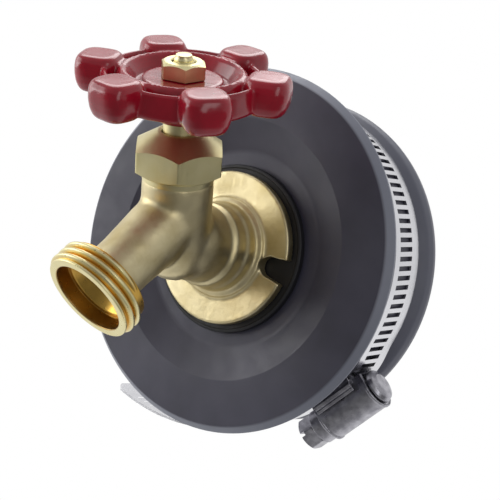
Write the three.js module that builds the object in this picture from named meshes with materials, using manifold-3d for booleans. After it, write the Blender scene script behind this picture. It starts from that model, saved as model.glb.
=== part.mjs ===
// Hose bib: a flanged brass tap fitted through a rubber pipe cap with a worm-drive clamp.
// Millimetres, +Z up. The origin is the centre of the pipe's end, where it meets the cap's floor.
// The pipe runs towards +Y. The tap faces -Y, and x = 0 is its plane of symmetry.
import * as THREE from 'three';
import { mergeVertices } from 'three/addons/utils/BufferGeometryUtils.js';
import Module from 'manifold-3d';

const wasm = await Module();
wasm.setup();

const GAP = 0.3; // kept between pieces that touch or nest
const deg = THREE.MathUtils.degToRad;

// ---- driving dimensions ----
const PIPE_R = 44.45; // 3 inch drain pipe, 88.9 mm outside
const CAP = {
  wall: 7, depth: 36.5, faceR: 50.7, lipR: 52.8, lipY: 2.2, seatR: 46.4, beadR: 49.6,
  dishR: 38, dishDepth: 3.9, holeR: 11, centreWall: 5,
};
const BAND = { width: 14.3, thick: 0.65, innerR: 46.7, midY: 20.75 };
const SLOT = { length: 7.4, width: 1.3, pitch: 2.66, skew: deg(6), midY: 20.1 };
const HOUSING = {
  angle: deg(-35), from: -10.4, to: 7.5, footFrom: -7.4, footTo: 5.8,
  archR: 5.9, wall: 1, base: 48.95, lipTop: 52.3,
};
const WORM = { axisR: 53.4, r: 4.4, rootR: 3.5, pitch: 2.66, tip: -12.9, collar: 10.9, head: 15.6 };

const FLANGE = { r: 22, front: -1.6, back: 1.4, notchR: 2.9, notchCentre: 17 };
const NECK = { r: 10.7, front: -24.5 };
const TAIL = { r: 10.6, rootR: 9.7, end: 24, pitch: 1.814, boreR: 6.5 }; // 1/2 inch pipe thread
const STEM_LEAN = deg(24.2); // the stem leans forward from upright
const OUTLET_DROP = deg(47.6); // the outlet points forward and this far down
const CROSSING = new THREE.Vector3(0, -26.9, 6.9); // where the stem and outlet axes cross

const BARREL = { r: 9.5, boreR: 7.1, top: 17.5, threadR: 9.1, threadFrom: 12 };
const SEAT = { h: -9, r: 5.4, boreR: 4.2 };
const OUTLET = { armR: 8, passageR: 6, shoulder: 27.3, end: 35 };
const HOSE = { r: 13.4, rootR: 12.2, pitch: 2.209, boreR: 10.4, boreDepth: 4.3 }; // 3/4 inch hose
const STEM = { r: 4.5, threadR: 6.7, rootR: 5.6, threadFrom: 2, threadTo: 12, lead: 2.54 };
const SQUARE = 6; // across the flats where the stem drives the wheel
const NUT = { corner: 12.7, bottom: 12.2, shoulder: 18.8, top: 23.4, turn: deg(11.4) };
const WHEEL = {
  ringR: 15.2, ringTop: 39.8, rimR: 20.4, rimTop: 39.2, rimBottom: 32.2, hubR: 10.1, hubTop: 37.6,
  floor: 36, hubBottom: 26.5, lobes: 6, lobeTurn: deg(26.2), lobeTop: 41, lobeBottom: 31.3,
};
const WHEEL_NUT = { corner: 6.1, top: 41.9, turn: deg(17) };

// ---- materials ----
const finish = (color, roughness, metalness) =>
  new THREE.MeshStandardMaterial({ color, roughness, metalness });
const castBrass = finish(0xc8b58a, 0.42, 0.9);
const turnedBrass = finish(0xe0cf8e, 0.25, 1);
const rubber = finish(0x504e59, 0.6, 0);
const softRubber = finish(0x262628, 0.7, 0);
const redEnamel = finish(0x8f1d26, 0.22, 0);
const stainless = finish(0xd6d6da, 0.25, 1);
const zincSteel = finish(0xa8a9ae, 0.4, 1);
const packingYarn = finish(0x35332f, 0.85, 0);

// ---- shape helpers ----
// A geometry as a solid whose faces point outwards.
function solid(geometry) {
  const bare = geometry.clone();
  bare.deleteAttribute('normal');
  bare.deleteAttribute('uv');
  const merged = mergeVertices(bare, 1e-4);
  const position = merged.getAttribute('position').array;
  const index = Uint32Array.from(merged.getIndex().array);
  if (signedVolume(position, index) < 0) {
    for (let i = 0; i < index.length; i += 3) [index[i], index[i + 1]] = [index[i + 1], index[i]];
  }
  return new wasm.Manifold(new wasm.Mesh({
    numProp: 3, vertProperties: Float32Array.from(position), triVerts: index,
  }));
}

function signedVolume(position, index) {
  const corner = (i) => new THREE.Vector3().fromArray(position, 3 * index[i]);
  let volume = 0;
  for (let i = 0; i < index.length; i += 3) {
    volume += corner(i).dot(corner(i + 1).cross(corner(i + 2))) / 6;
  }
  return volume;
}

function piece(name, shape, material) {
  const { vertProperties, triVerts, numProp } = shape.getMesh();
  const geometry = new THREE.BufferGeometry();
  const position = new Float32Array((vertProperties.length / numProp) * 3);
  for (let i = 0; i < position.length; i += 1) {
    position[i] = vertProperties[Math.floor(i / 3) * numProp + (i % 3)];
  }
  geometry.setAttribute('position', new THREE.BufferAttribute(position, 3));
  geometry.setIndex(new THREE.BufferAttribute(Uint32Array.from(triVerts), 1));
  geometry.computeVertexNormals();
  const mesh = new THREE.Mesh(geometry, material);
  mesh.name = name;
  return mesh;
}

// A shape turned about Y from [radius, height] points. It runs from axis to axis, or closes.
function turned(points, sides = 24) {
  const profile = points.map(([r, y]) => new THREE.Vector2(r, y));
  if (points[0][0] > 0) profile.push(profile[0].clone());
  return new THREE.LatheGeometry(profile, sides);
}

const rod = (r, from, to, sides = 24) => turned([[0, from], [r, from], [r, to], [0, to]], sides);
const ring = (inner, outer, from, to, sides = 24) =>
  turned([[inner, from], [outer, from], [outer, to], [inner, to]], sides);

// Crests and roots of a screw thread from one height to another, as turned-profile points.
function threadProfile(crest, root, pitch, from, to) {
  const count = Math.floor((to - from) / pitch);
  const start = from + (to - from - count * pitch) / 2;
  const points = [];
  for (let i = 0; i < count; i += 1) {
    const y = start + i * pitch;
    points.push([root, y + 0.05 * pitch], [crest, y + 0.5 * pitch], [root, y + 0.95 * pitch]);
  }
  return points;
}

// A flat outline raised along Y from one height to another.
function prism(shape, from, to, bevel = 0, curveSegments = 8) {
  const geometry = new THREE.ExtrudeGeometry(shape, {
    depth: to - from - 2 * bevel, curveSegments, bevelEnabled: bevel > 0,
    bevelThickness: bevel, bevelSize: bevel, bevelOffset: -bevel, bevelSegments: 1,
  });
  return geometry.rotateX(-Math.PI / 2).translate(0, from + bevel, 0);
}

function polygon(sides, corner, turn) {
  const shape = new THREE.Shape();
  for (let i = 0; i < sides; i += 1) {
    const a = turn + (2 * Math.PI * i) / sides;
    const [x, y] = [corner * Math.cos(a), corner * Math.sin(a)];
    if (i === 0) shape.moveTo(x, y);
    else shape.lineTo(x, y);
  }
  shape.closePath();
  return shape;
}

function roundedBox(x0, x1, y0, y1, r) {
  const shape = new THREE.Shape();
  shape.moveTo(x0 + r, y0);
  shape.lineTo(x1 - r, y0);
  shape.absarc(x1 - r, y0 + r, r, -Math.PI / 2, 0);
  shape.lineTo(x1, y1 - r);
  shape.absarc(x1 - r, y1 - r, r, 0, Math.PI / 2);
  shape.lineTo(x0 + r, y1);
  shape.absarc(x0 + r, y1 - r, r, Math.PI / 2, Math.PI);
  shape.lineTo(x0, y0 + r);
  shape.absarc(x0 + r, y0 + r, r, Math.PI, 1.5 * Math.PI);
  return shape;
}

// Places that pieces are built about: their Y axis is the stem, the outlet or the pipe.
const stemPlace = new THREE.Matrix4().makeRotationX(Math.PI / 2 + STEM_LEAN).setPosition(CROSSING);
const outletPlace = new THREE.Matrix4().makeRotationX(Math.PI + OUTLET_DROP).setPosition(CROSSING);
const onStem = (geometry) => geometry.clone().applyMatrix4(stemPlace);
const onOutlet = (geometry) => geometry.clone().applyMatrix4(outletPlace);

// ---- the rubber pipe cap ----
function pipeCap() {
  const { wall, depth, faceR, lipR, lipY, seatR, beadR, dishR, dishDepth, holeR, centreWall } = CAP;
  const dishBack = dishDepth + centreWall;
  const dishFloorR = 27;
  const outside = [
    [holeR, dishDepth], [dishFloorR, dishDepth], [32, 1.7], [dishR, 0.1], [faceR, 0],
    [lipR - 0.4, 1.2], [lipR, lipY], [lipR - 0.4, 3.4], [48.2, 8], [seatR, 10], [seatR, 28.8],
    [47.4, 29.8], [beadR - 0.5, 31.2], [beadR, 33.2], [beadR - 0.4, 35.4], [beadR - 2.2, depth],
  ];
  const boreR = PIPE_R + GAP;
  const inside = [[boreR + 0.9, depth]];
  for (const y of [30, 20]) { // sealing ribs that the pipe squeezes
    inside.push([boreR + 0.6, y + 1.6], [boreR, y], [boreR + 0.6, y - 1.6]);
  }
  inside.push([boreR + 0.4, wall], [dishR + 1, wall], [dishFloorR, dishBack], [holeR, dishBack]);
  return piece('pipe_cap', solid(turned([...outside, ...inside], 48)), rubber);
}

function flangeGasket() {
  const [front, back] = [FLANGE.back + GAP, CAP.dishDepth - GAP];
  const outer = 24.3;
  return piece('flange_gasket', solid(turned([
    [CAP.holeR, front], [outer - 1, front], [outer - 0.6, front - 0.3], [outer, front + 0.1],
    [outer, back], [CAP.holeR, back],
  ], 36)), softRubber);
}

// ---- the tap's brass body ----
function bodyCasting() {
  const { r, front, back } = FLANGE;
  const tailThread = threadProfile(TAIL.r, TAIL.rootR, TAIL.pitch, 12, TAIL.end - 1);
  const flangeAndTail = turned([
    [0, NECK.front - 1.5], [5.5, NECK.front - 1.2], [9, NECK.front + 0.8], [NECK.r, NECK.front + 4],
    [NECK.r, -11.6], [11.9, -11.2], [11.9, -6.7], [12.5, -6.2], [12.5, -3], [14.4, -2.6],
    [14.4, front], [r - 0.6, front], [r, front + 0.6], [r, back - 0.4], [r - 0.4, back],
    [TAIL.r - 0.3, back], [TAIL.r - 0.3, 11], ...tailThread, [TAIL.rootR - 0.6, TAIL.end],
    [0, TAIL.end],
  ], 28);
  const barrel = turned([
    [0, -18.8], [4.8, -17.6], [7.7, -14.9], [9.2, -11.4], [BARREL.r, -7.5], [BARREL.r, 10.3],
    [BARREL.r - 0.25, 10.5], [BARREL.r - 0.25, BARREL.threadFrom - 0.2],
    [BARREL.threadR - 0.7, BARREL.threadFrom],
    ...threadProfile(BARREL.threadR, BARREL.threadR - 0.6, 1.4, BARREL.threadFrom, BARREL.top),
    [BARREL.threadR - 0.7, BARREL.top], [0, BARREL.top],
  ], 24);
  const { armR, shoulder, end } = OUTLET;
  const arm = turned([
    [0, -1], [8.4, -1], [8.8, 8], [armR, 20], [armR, shoulder - 0.6], [armR + 0.6, shoulder],
    [HOSE.rootR, shoulder],
    ...threadProfile(HOSE.r, HOSE.rootR, HOSE.pitch, shoulder, end - 0.7),
    [HOSE.rootR + 0.45, end - 0.6], [HOSE.rootR + 0.45, end], [0, end],
  ], 28);
  return solid(flangeAndTail).add(solid(onStem(barrel))).add(solid(onOutlet(arm)));
}

function bodyPassages() {
  const { passageR, end } = OUTLET;
  const mouthFloor = end - HOSE.boreDepth;
  const mouth = turned([
    [0, 0], [passageR, 0], [passageR, 26], [9.2, mouthFloor], [HOSE.boreR, mouthFloor],
    [HOSE.boreR, end + 1], [0, end + 1],
  ], 24);
  const stemBore = turned([
    [0, -14.5], [SEAT.boreR, -14.5], [SEAT.boreR, SEAT.h], [SEAT.r, SEAT.h], [SEAT.r, SEAT.h - 1],
    [BARREL.boreR, SEAT.h - 1], [BARREL.boreR, BARREL.top + 1], [0, BARREL.top + 1],
  ], 24);
  const inlet = rod(TAIL.boreR, -6, TAIL.end + 1, 24);
  const [from, to] = [new THREE.Vector3(0, -5, -1.8), new THREE.Vector3(0, -21, -6)];
  const along = to.clone().sub(from);
  const under = rod(3.8, 0, along.length(), 16).applyQuaternion(
    new THREE.Quaternion().setFromUnitVectors(new THREE.Vector3(0, 1, 0), along.normalize()),
  ).translate(from.x, from.y, from.z);
  return solid(inlet).add(solid(under)).add(solid(onStem(stemBore))).add(solid(onOutlet(mouth)));
}

function flangeNotch(side) {
  const { notchR, notchCentre, front, back } = FLANGE;
  const flare = 0.9; // the notch widens to the rim
  const shape = new THREE.Shape();
  shape.absarc(notchCentre, 0, notchR, Math.PI / 2, 1.5 * Math.PI);
  shape.lineTo(notchCentre + 7, -notchR - flare);
  shape.lineTo(notchCentre + 7, notchR + flare);
  shape.closePath();
  const cut = prism(shape, front - 1, back + 1);
  return solid(side > 0 ? cut : cut.rotateZ(Math.PI).translate(0, front + back, 0));
}

function valveBody() {
  let body = bodyCasting().subtract(bodyPassages());
  for (const side of [1, -1]) body = body.subtract(flangeNotch(side));
  return piece('valve_body', body, castBrass);
}

function lockNut() {
  const from = CAP.dishDepth + CAP.centreWall + 2 * GAP + 2;
  const nut = solid(prism(polygon(6, 16.2, 0), from, from + 6, 0.6));
  return piece('lock_nut', nut.subtract(solid(rod(TAIL.r + GAP, from - 1, from + 7))), turnedBrass);
}

function backingWasher() {
  const from = CAP.dishDepth + CAP.centreWall + GAP;
  return piece('backing_washer', solid(ring(CAP.holeR, 20, from, from + 2, 32)), zincSteel);
}

// ---- the stem and what seals it ----
function seatWasher() {
  const from = SEAT.h + GAP;
  const outline = [[2.1, from + 1.7], [3.4, from + 1.7], [3.4, from], [5.6, from]];
  outline.push([5.6, from + 2.7], [2.1, from + 2.7]);
  return piece('seat_washer', solid(turned(outline)), softRubber);
}

function washerCup() {
  const under = SEAT.h + 3 * GAP + 2.4;
  return piece('washer_cup', solid(turned([
    [2.1, under], [5.9, under], [5.9, under - 1.5], [6.6, under - 1.5], [6.6, under + 1.4],
    [2.1, under + 1.4],
  ])), turnedBrass);
}

function bibbScrew() {
  const head = SEAT.h + 2 * GAP;
  const screw = solid(turned([
    [0, head], [2.6, head], [2.9, head + 0.4], [2.9, head + 1.1], [1.8, head + 1.1],
    [1.8, head + 8], [0, head + 8],
  ], 20));
  const slot = new THREE.BoxGeometry(7, 0.7, 0.8).translate(0, head + 0.1, 0);
  return piece('bibb_screw', screw.subtract(solid(slot)), turnedBrass);
}

const stemFoot = SEAT.h + 3 * GAP + 4.1;

function stem() {
  const { r, threadR, rootR, threadFrom, threadTo, lead } = STEM;
  const shaft = solid(turned([
    [0, stemFoot], [r, stemFoot], [r, threadFrom], [rootR, threadFrom + 0.2],
    ...threadProfile(threadR, rootR, lead, threadFrom, threadTo), [rootR, threadTo],
    [r, threadTo + 0.4], [r, 27], [0, 27],
  ], 20));
  const drive = solid(new THREE.BoxGeometry(SQUARE, 11, SQUARE).translate(0, 32, 0));
  const stud = solid(turned([
    [0, 36], [2.7, 36], [2.7, 43], [2.1, 43.5], [0, 43.5],
  ], 20));
  const screwHole = solid(rod(1.8 + GAP, stemFoot - 1, stemFoot + 5, 16));
  return piece('stem', shaft.add(drive).add(stud).subtract(screwHole), turnedBrass);
}

function packingRing(name, from, to) {
  return piece(name, solid(ring(STEM.r + GAP, 6.9, from, to)), packingYarn);
}

function packingNut() {
  const { corner, bottom, shoulder, top, turn } = NUT;
  const mouthR = STEM.r + GAP;
  const hex = solid(prism(polygon(6, corner, turn), bottom, top));
  const round = solid(turned([
    [0, bottom], [10.8, bottom], [corner + 0.1, bottom + 1.4], [corner + 0.1, shoulder],
    [5.6, top], [0, top],
  ], 36));
  const inside = solid(turned([
    [0, bottom - 1], [BARREL.threadR + GAP, bottom - 1], [BARREL.threadR + GAP, 18.7], [7.2, 18.7],
    [7.2, 21.3], [mouthR, 21.3], [mouthR, top + 1], [0, top + 1],
  ], 24));
  return piece('packing_nut', hex.intersect(round).subtract(inside), turnedBrass);
}

// ---- the handwheel ----
function wheelLobe(turn) {
  const plan = roundedBox(16.2, 27.9, -6, 6, 4.6);
  const top = solid(prism(plan, 34, WHEEL.lobeTop, 1.3, 2));
  const foot = solid(prism(roundedBox(17.4, 26.7, -4.8, 4.8, 4), WHEEL.lobeBottom, 35.6, 1.2, 2));
  return top.add(foot).rotate([0, THREE.MathUtils.radToDeg(turn), 0]);
}

function handwheel() {
  const { ringR, ringTop, rimR, rimTop, rimBottom, hubR, hubTop, floor, hubBottom } = WHEEL;
  let wheel = solid(turned([
    [0, hubBottom], [6.6, hubBottom], [7.4, rimBottom + 0.6], [rimR - 2, rimBottom + 0.6],
    [rimR - 1.6, rimBottom], [rimR - 0.2, rimBottom], [rimR, rimBottom + 0.6], [rimR, rimTop - 0.5],
    [rimR - 0.5, rimTop], [rimR - 1.2, rimTop - 0.3], [rimR - 1.7, floor + 0.4], [17.2, floor],
    [ringR + 1.2, ringTop - 0.9], [ringR, ringTop], [ringR - 1, ringTop - 0.8], [12, floor],
    [hubR + 0.3, floor], [hubR, hubTop], [0, hubTop],
  ], 36));
  for (let i = 0; i < WHEEL.lobes; i += 1) {
    wheel = wheel.add(wheelLobe(WHEEL.lobeTurn + (2 * Math.PI * i) / WHEEL.lobes));
  }
  const side = SQUARE + 2 * GAP;
  const hole = new THREE.BoxGeometry(side, hubTop - hubBottom + 4, side);
  const shoulder = rod(STEM.r + GAP, hubBottom - 1, 27 + GAP);
  wheel = wheel.subtract(solid(hole.translate(0, (hubTop + hubBottom) / 2, 0)));
  return piece('handwheel', wheel.subtract(solid(shoulder)), redEnamel);
}

function wheelNut() {
  const { corner, top, turn } = WHEEL_NUT;
  const bottom = WHEEL.hubTop + GAP;
  const hex = solid(prism(polygon(6, corner, turn), bottom, top));
  const round = solid(turned([
    [0, bottom], [corner, bottom], [corner, top - 0.9], [corner - 1.1, top], [0, top],
  ]));
  const hole = solid(rod(2.7 + GAP, bottom - 1, top + 1, 24));
  return piece('wheel_nut', hex.intersect(round).subtract(hole), turnedBrass);
}

// ---- the worm-drive clamp ----
// The strip's middle radius: once round the cap, over its own start, then out as a free tail.
const STRIP = { start: deg(-47.5), lap: deg(-372), over: deg(-384), leave: deg(-409), end: deg(-480) };
function stripRadius(angle) {
  const inner = BAND.innerR + BAND.thick / 2;
  const outer = HOUSING.base - GAP - BAND.thick / 2;
  const rise = THREE.MathUtils.smoothstep(-angle, -STRIP.lap, -STRIP.over);
  const free = Math.max(0, STRIP.leave - angle) / (STRIP.leave - STRIP.end);
  return inner + (outer - inner) * rise + 16 * free ** 1.5;
}

function stripOutline() {
  const side = (offset) => {
    const points = [];
    for (let a = STRIP.start; a > STRIP.end - 1e-6; a -= deg(4.5)) {
      const r = stripRadius(a) + offset;
      points.push(new THREE.Vector2(r * Math.cos(a), r * Math.sin(a)));
    }
    return points;
  };
  return new THREE.Shape([...side(BAND.thick / 2), ...side(-BAND.thick / 2).reverse()]);
}

function clampSlot(angle) {
  const slot = new THREE.BoxGeometry(SLOT.width, SLOT.length, 2.2);
  slot.rotateZ(SLOT.skew).translate(0, SLOT.midY, stripRadius(angle));
  return slot.rotateY(Math.PI / 2 - angle);
}

function clampBand() {
  const strip = prism(stripOutline(), 0, BAND.width).rotateX(Math.PI);
  let band = solid(strip.translate(0, BAND.midY + BAND.width / 2, 0));
  const step = SLOT.pitch / (BAND.innerR + BAND.thick);
  for (let a = deg(-284); a > deg(-384.5); a -= step) band = band.subtract(solid(clampSlot(a)));
  for (let a = deg(-416); a > deg(-474); a -= step) band = band.subtract(solid(clampSlot(a)));
  return piece('clamp_band', band, stainless);
}

// Within this group X runs along the screw to its head and Z points away from the pipe's axis.
function clampPlace() {
  const place = new THREE.Group();
  place.position.y = BAND.midY;
  place.rotation.y = Math.PI / 2 - HOUSING.angle;
  return place;
}

function alongScrew(shape, from, to) {
  const geometry = new THREE.ExtrudeGeometry(shape, {
    depth: to - from, bevelEnabled: false, curveSegments: 10,
  });
  const basis = new THREE.Matrix4().makeBasis(
    new THREE.Vector3(0, 1, 0), new THREE.Vector3(0, 0, 1), new THREE.Vector3(1, 0, 0),
  );
  return geometry.applyMatrix4(basis).translate(from, 0, 0);
}

// The arch over the worm, from foot to foot, with what stands on each side given by its corners.
function housingOutline(side) {
  const { archR, wall, base } = HOUSING;
  const shape = new THREE.Shape();
  shape.absarc(0, WORM.axisR, archR, Math.PI, 0, true);
  for (const [y, z] of side) shape.lineTo(y, z);
  shape.lineTo(archR - wall, base);
  shape.absarc(0, WORM.axisR, archR - wall, 0, Math.PI, false);
  shape.lineTo(wall - archR, base);
  for (const [y, z] of [...side].reverse()) shape.lineTo(-y, z);
  return shape;
}

function clampHousing() {
  const { from, to, footFrom, footTo, archR, wall, base, lipTop } = HOUSING;
  const skirt = BAND.width / 2 + GAP;
  const hem = BAND.innerR + BAND.thick + GAP;
  const arch = housingOutline([[archR, base]]);
  const feet = housingOutline([
    [archR, base + wall], [skirt + 0.1, base + wall], [skirt + 0.1, lipTop], [skirt + 1, lipTop],
    [skirt + 1, base + wall], [skirt + 0.5, base + wall - 0.4], [skirt + 0.5, hem], [skirt, hem],
    [skirt, base],
  ]);
  const housing = solid(alongScrew(arch, from, to)).add(solid(alongScrew(feet, footFrom, footTo)));
  return piece('clamp_housing', housing, stainless);
}

function clampSaddle() {
  const half = deg(11.2);
  const [inner, outer] = [BAND.innerR, BAND.innerR + BAND.thick];
  const shape = new THREE.Shape();
  shape.absarc(0, 0, outer, Math.PI / 2 - half, Math.PI / 2 + half, false);
  shape.absarc(0, 0, inner, Math.PI / 2 + half, Math.PI / 2 - half, true);
  shape.closePath();
  const width = BAND.width + 2;
  const plate = new THREE.ExtrudeGeometry(shape, {
    depth: width, bevelEnabled: false, curveSegments: 10,
  });
  return piece('clamp_saddle', solid(plate.rotateX(Math.PI / 2).translate(0, width / 2, 0)), stainless);
}

function clampScrew() {
  const { axisR, r, rootR, pitch, tip, collar, head } = WORM;
  const [low, high] = [HOUSING.from - GAP, HOUSING.to + GAP];
  const body = solid(turned([
    [0, tip], [2.6, tip + 0.1], [4.2, tip + 0.6], [5, tip + 1.5], [5, low], [rootR, low],
    ...threadProfile(r, rootR, pitch, low + 1, high - 1), [rootR, high], [5.1, high],
    [5.1, collar], [4.2, collar + 0.3], [4.2, collar + 1], [0, collar + 1],
  ], 20));
  const hex = solid(prism(polygon(6, 5, 0), collar + 0.3, head, 0.3));
  const slot = new THREE.BoxGeometry(12, 4, 1.2).translate(0, head + 0.4, 0);
  const mesh = piece('clamp_screw', body.add(hex).subtract(solid(slot)), stainless);
  mesh.rotation.z = -Math.PI / 2;
  mesh.position.z = axisR;
  return mesh;
}

// ---- assembly ----
const front = new THREE.Group(); // y = 0 here is the cap's outer face
front.position.y = -CAP.wall;
front.add(pipeCap(), flangeGasket(), valveBody(), backingWasher(), lockNut(), clampBand());

const clamp = clampPlace();
clamp.add(clampHousing(), clampSaddle(), clampScrew());
front.add(clamp);

const stemGroup = new THREE.Group();
stemGroup.position.copy(CROSSING);
stemGroup.rotation.x = Math.PI / 2 + STEM_LEAN;
stemGroup.add(
  seatWasher(), washerCup(), bibbScrew(), stem(),
  piece('packing_washer', solid(ring(STEM.r + GAP, 8.7, 17.8, 18.5)), turnedBrass),
  packingRing('packing_ring_lower', 18.8, 19.6), packingRing('packing_ring_upper', 19.7, 20.3),
  piece('packing_gland', solid(ring(STEM.r + GAP, 6.9, 20.45, 21.1)), turnedBrass),
  packingNut(), handwheel(), wheelNut(),
);
front.add(stemGroup);

const hoseBib = new THREE.Group();
hoseBib.add(front);

export default hoseBib;
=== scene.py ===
"""A hose bib in its rubber pipe cap: the finished surfaces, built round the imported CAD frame.

Shapes are made in millimetres in the frame of the part that they belong to, and are placed in
metres. Y is the axis of whatever is turned, and x = 0 is the tap's plane of symmetry.
"""
import bisect
import math
from math import cos, pi, radians, sin

import bmesh
import bpy
from mathutils import Matrix, Vector


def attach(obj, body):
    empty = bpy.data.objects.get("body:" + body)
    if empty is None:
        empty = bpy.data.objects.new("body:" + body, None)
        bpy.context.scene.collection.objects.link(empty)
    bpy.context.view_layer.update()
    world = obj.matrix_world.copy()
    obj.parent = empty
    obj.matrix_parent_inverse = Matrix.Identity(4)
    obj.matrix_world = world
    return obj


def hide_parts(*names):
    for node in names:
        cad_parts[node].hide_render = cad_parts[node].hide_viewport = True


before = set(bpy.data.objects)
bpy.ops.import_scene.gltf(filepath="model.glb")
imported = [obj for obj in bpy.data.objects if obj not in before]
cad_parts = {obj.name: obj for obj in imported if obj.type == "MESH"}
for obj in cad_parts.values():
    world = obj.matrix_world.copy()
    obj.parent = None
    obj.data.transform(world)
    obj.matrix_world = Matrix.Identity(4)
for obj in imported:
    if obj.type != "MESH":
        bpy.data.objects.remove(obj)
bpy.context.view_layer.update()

# ---- the bodies that pieces ride on ----
FIXED, WHEEL_AND_STEM, WORM_SCREW = "bib_and_cap", "wheel_and_stem", "worm_screw"

# ---- places, in millimetres ----
METRES = Matrix.Scale(0.001, 4)
FACE = Matrix.Translation((0, -7, 0))  # y = 0 is the cap's outer face
CROSSING_POINT = Vector((0, -26.9, 6.9))  # where stem and outlet cross
CROSSING = FACE @ Matrix.Translation(CROSSING_POINT)
STEM_LEAN = radians(24.2)
OUTLET_DROP = radians(47.6)
STEM = CROSSING @ Matrix.Rotation(pi / 2 + STEM_LEAN, 4, "X")
OUTLET = CROSSING @ Matrix.Rotation(pi + OUTLET_DROP, 4, "X")
BAND_MID = 20.75
CLAMP = (
    FACE
    @ Matrix.Translation((0, BAND_MID, 0))
    @ Matrix.Rotation(pi / 2 + radians(35), 4, "Y")  # X runs to the screw's head, Z outwards
)
WORM_AXIS = 53.4
ARCH_R, HOUSING_FROM, HOUSING_TO = 5.9, -10.4, 7.5
WORM = CLAMP @ Matrix.Translation((0, 0, WORM_AXIS)) @ Matrix.Rotation(-pi / 2, 4, "Z")

# ---- sizes, in millimetres ----
PIPE_R = 44.45  # 3 inch drain pipe
BAND_WIDTH, BAND_THICK, BAND_INNER = 14.3, 0.65, 46.7
HOUSING_BASE = 48.95  # where the clamp housing stands, above the two layers of band
HOUSING_WALL = 1.0
HOSE_CREST, HOSE_ROOT, HOSE_PITCH, HOSE_BORE = 13.4, 12.2, 2.209, 10.4
TAIL_CREST, TAIL_ROOT, TAIL_PITCH, TAIL_BORE = 10.6, 9.7, 1.814, 6.5
STEM_R = 4.5
WHEEL_TURN = 26.2  # degrees from X to the first lobe at rest


# ---- the camera, the lights and the floor, in metres ----
def camera():
    azimuth, elevation, roll = radians(33.2), radians(6.13), radians(19.1)
    standpoint = (0.184633, -0.276413, 0.036706)
    back = Vector((sin(azimuth) * cos(elevation), -cos(azimuth) * cos(elevation), sin(elevation)))
    level = Vector((cos(azimuth), sin(azimuth), 0))
    rise = back.cross(level)
    right = cos(roll) * level + sin(roll) * rise
    up = cos(roll) * rise - sin(roll) * level
    lens = bpy.data.cameras.new("camera")
    lens.sensor_width = 36
    lens.lens = 82.8
    lens.clip_start = 0.01
    viewer = bpy.data.objects.new("camera", lens)
    viewer.matrix_world = Matrix((right, up, back)).transposed().to_4x4()
    viewer.location = standpoint
    bpy.context.scene.collection.objects.link(viewer)
    bpy.context.scene.camera = viewer
    return right, up, back


def softbox(name, direction, distance, size, watts):
    lamp = bpy.data.lights.new(name, "AREA")
    lamp.shape = "RECTANGLE"
    lamp.size, lamp.size_y = size
    lamp.energy = watts
    box = bpy.data.objects.new(name, lamp)
    towards = Vector(direction).normalized()
    middle = Vector((0, -0.02, 0))
    box.location = middle + towards * distance
    box.rotation_euler = towards.to_track_quat("Z", "Y").to_euler()
    box.visible_camera = False
    bpy.context.scene.collection.objects.link(box)


def studio(right, up, back):
    softbox("left_softbox", -1.0 * right + 0.25 * up - 0.1 * back, 0.75, (0.7, 0.9), 4.2)
    softbox("top_softbox", (-0.45, 0.3, 0.85), 0.8, (0.7, 0.5), 3.2)
    softbox("front_softbox", (-0.75, -0.65, -0.4), 0.8, (0.5, 0.5), 1.7)
    softbox("shoulder_strip", (0.86, -0.5, 0), 0.8, (0.25, 1.2), 1.5)
    world = bpy.data.worlds.new("studio")
    world.use_nodes = True
    bpy.context.scene.world = world
    tree = world.node_tree
    tree.nodes.clear()
    direction = add(tree, "TexCoord").outputs["Generated"]
    to_camera = add(
        tree, "VectorMath", {0: direction, 1: tuple(back)}, operation="DOT_PRODUCT"
    ).outputs["Value"]
    room = add(
        tree, "MapRange",
        {"Value": to_camera, "From Min": -0.6, "From Max": 0.9, "To Min": 0.84, "To Max": 0.34},
    ).outputs["Result"]
    seen = add(tree, "LightPath").outputs["Is Camera Ray"]
    strength = add(
        tree, "Mix", {"Factor": seen, "A": room, "B": 1.0}, data_type="FLOAT"
    ).outputs[0]
    sky = add(tree, "Background", {"Color": (1, 1, 1, 1), "Strength": strength})
    add(tree, "OutputWorld", {"Surface": sky.outputs["Background"]})
    bpy.context.scene.view_settings.view_transform = "Standard"


def floor():
    bm = bmesh.new()
    bmesh.ops.create_circle(bm, cap_ends=True, segments=96, radius=6)
    bmesh.ops.translate(bm, verts=bm.verts, vec=(0, 0, -0.2))
    mesh = bpy.data.meshes.new("floor")
    bm.to_mesh(mesh)
    bm.free()
    ground = bpy.data.objects.new("floor", mesh)
    bpy.context.scene.collection.objects.link(ground)
    mesh.materials.append(pale_floor())


def pale_floor():
    """White where it is seen. It lights the part brightly from the left, dimly from the right."""
    pale = bpy.data.materials.new("pale_floor")
    pale.use_nodes = True
    tree = pale.node_tree
    tree.nodes.clear()
    place = add(tree, "TexCoord").outputs["Object"]
    rightwards = add(
        tree, "VectorMath", {0: place, 1: (0.6, -0.75, 0)}, operation="DOT_PRODUCT"
    ).outputs["Value"]
    bounce = add(
        tree, "MapRange",
        {"Value": rightwards, "From Min": -0.02, "From Max": 0.2, "To Min": 0.9, "To Max": 0.14},
    ).outputs["Result"]
    seen = add(tree, "LightPath").outputs["Is Camera Ray"]
    strength = add(
        tree, "Mix", {"Factor": seen, "A": bounce, "B": 1.0}, data_type="FLOAT"
    ).outputs[0]
    glow = add(tree, "Emission", {"Color": (1, 1, 1, 1), "Strength": strength})
    add(tree, "OutputMaterial", {"Surface": glow.outputs[0]})
    return pale


# ---- materials ----
def srgb(code):
    parts = [int(code[i:i + 2], 16) / 255 for i in (1, 3, 5)]
    return (*[p / 12.92 if p <= 0.04045 else ((p + 0.055) / 1.055) ** 2.4 for p in parts], 1)


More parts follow.
